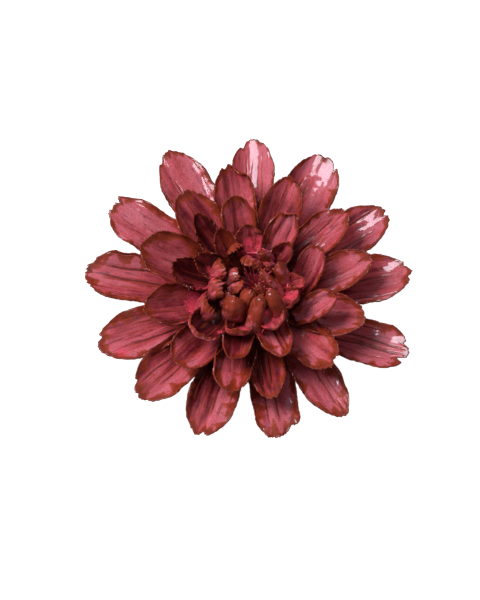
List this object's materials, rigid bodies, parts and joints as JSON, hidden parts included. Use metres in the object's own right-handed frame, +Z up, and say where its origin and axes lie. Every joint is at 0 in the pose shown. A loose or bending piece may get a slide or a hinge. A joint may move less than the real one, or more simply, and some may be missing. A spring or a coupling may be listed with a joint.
{
  "type": "glazed ceramic dahlia bloom",
  "caption": "Hand-built ceramic dahlia in full bloom, petals in rising rows round a hooded heart, on a flat round foot; lies on a table or is glued to a wall as an ornament.",
  "frame": {"origin": "middle of the foot's flat face, on the surface that the flower lies on", "axes": "+Z up through the heart of the flower, away from the foot; +Y towards the top of the picture; +X towards its right"},
  "size_m": [0.1244, 0.1215, 0.032],
  "materials": {
    "glaze": "glossy glaze that breaks from rosy pink on the petals' faces to rust brown on their rims, ribs and hoods, pooled crimson at their roots; bare clay under the foot"
  },
  "bodies": {
    "root": {"bloom": "glaze"}
  },
  "joints": []
}
